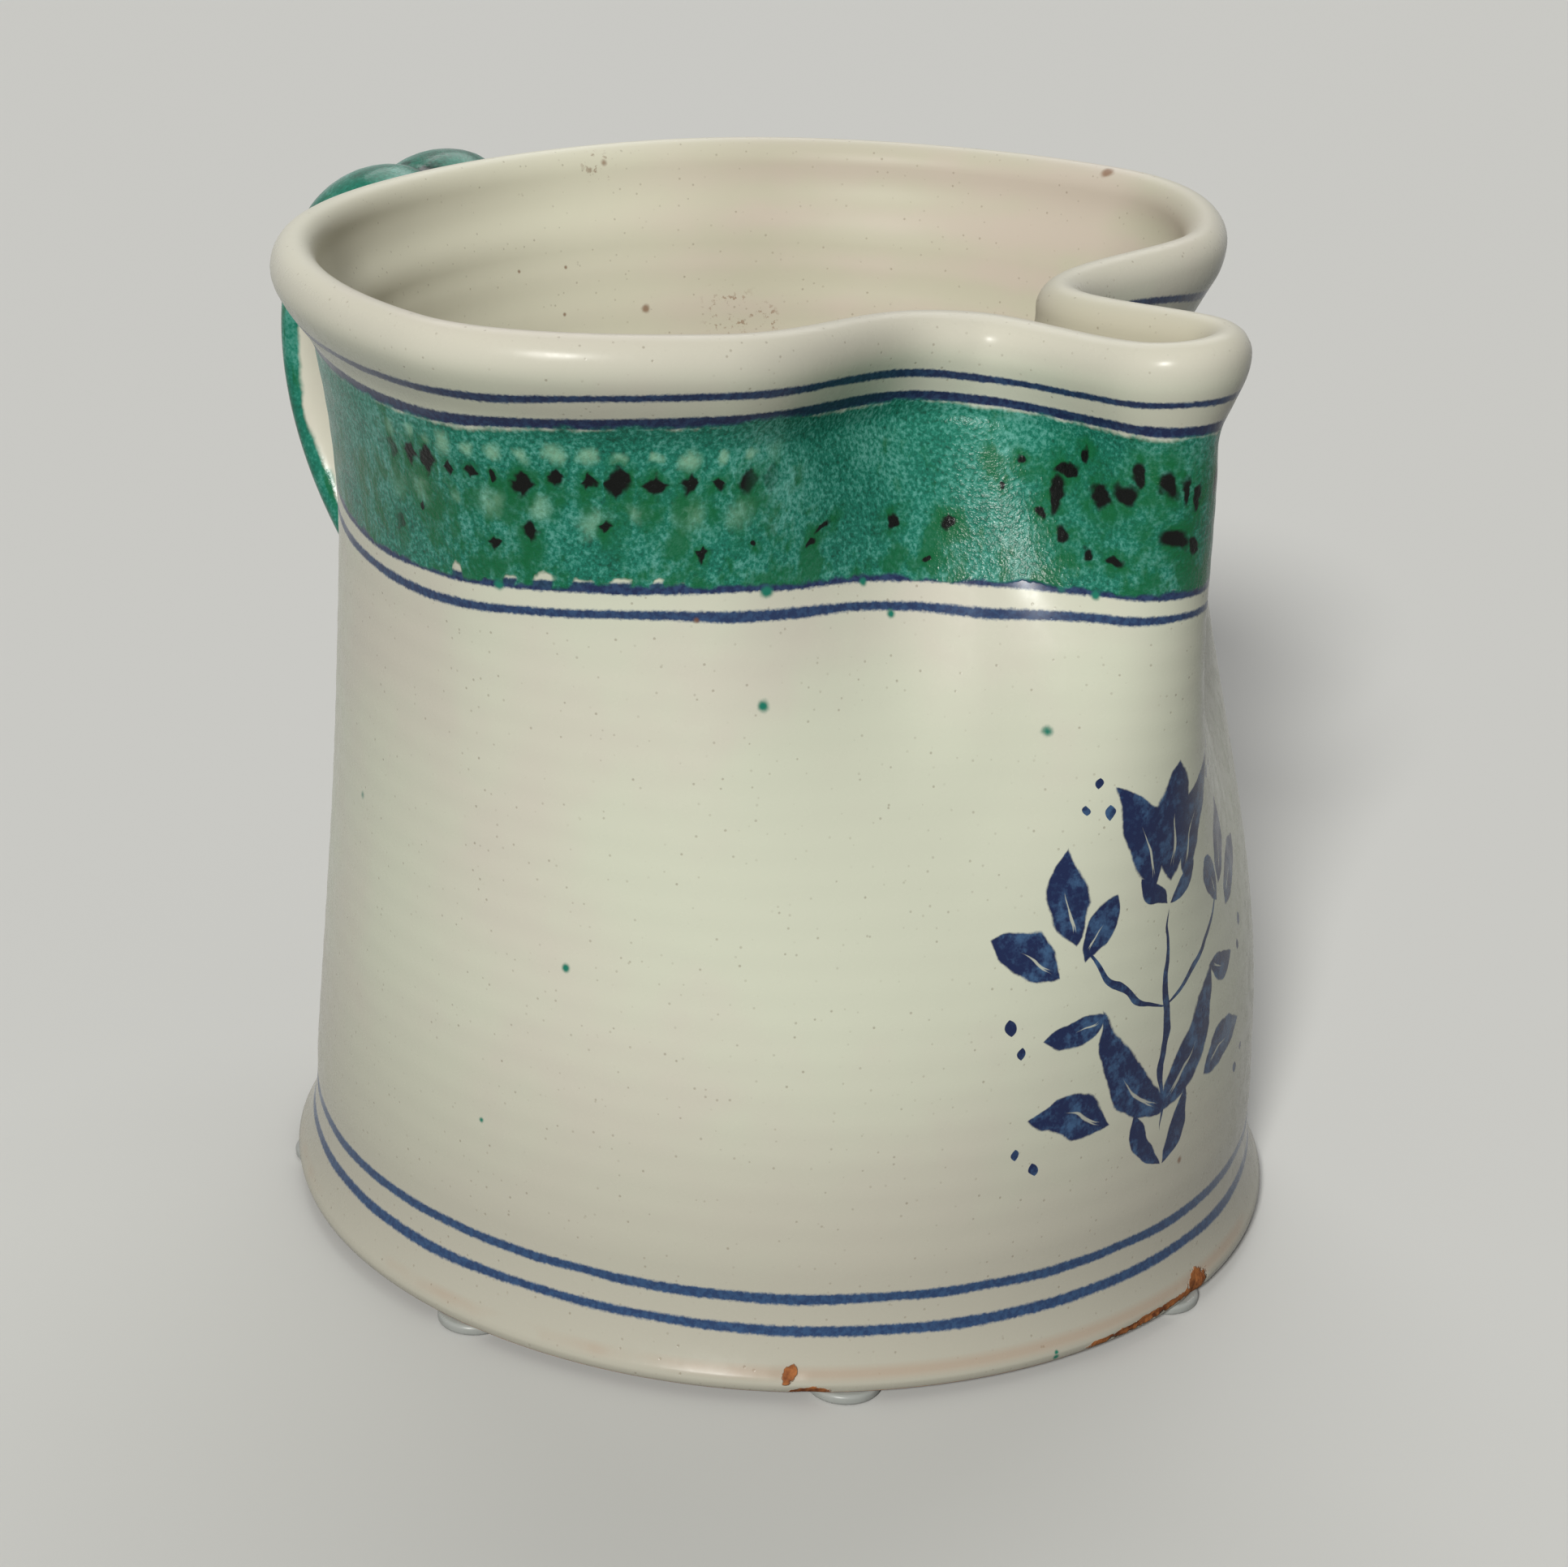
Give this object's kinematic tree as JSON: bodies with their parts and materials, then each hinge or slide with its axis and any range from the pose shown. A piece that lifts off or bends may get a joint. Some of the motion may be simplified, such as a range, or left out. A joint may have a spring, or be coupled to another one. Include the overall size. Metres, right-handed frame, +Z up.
{
  "type": "pitcher",
  "caption": "Hand-thrown glazed pitcher with a flared foot, a waisted body, a thick rolled lip pinched into a deep spout, and a reeded strap handle.",
  "frame": {"origin": "on the standing plane, under the middle of the round foot", "axes": "+Z up, +X towards the spout, the handle towards -X"},
  "size_m": [0.2265, 0.1962, 0.1848],
  "materials": {
    "glazed_body": "glossy cream tin glaze with painted bands",
    "green_glaze": "glossy brushed copper green glaze",
    "clear_pad": "pale translucent soft pad"
  },
  "bodies": {
    "root": {"floor_slab": "glazed_body", "foot_band": "glazed_body", "body_wall": "glazed_body", "rolled_lip": "glazed_body", "handle_upper_root": "green_glaze", "handle_left_reed": "green_glaze", "handle_right_reed": "green_glaze", "handle_lower_root": "green_glaze", "foot_pads": "clear_pad"}
  },
  "joints": []
}
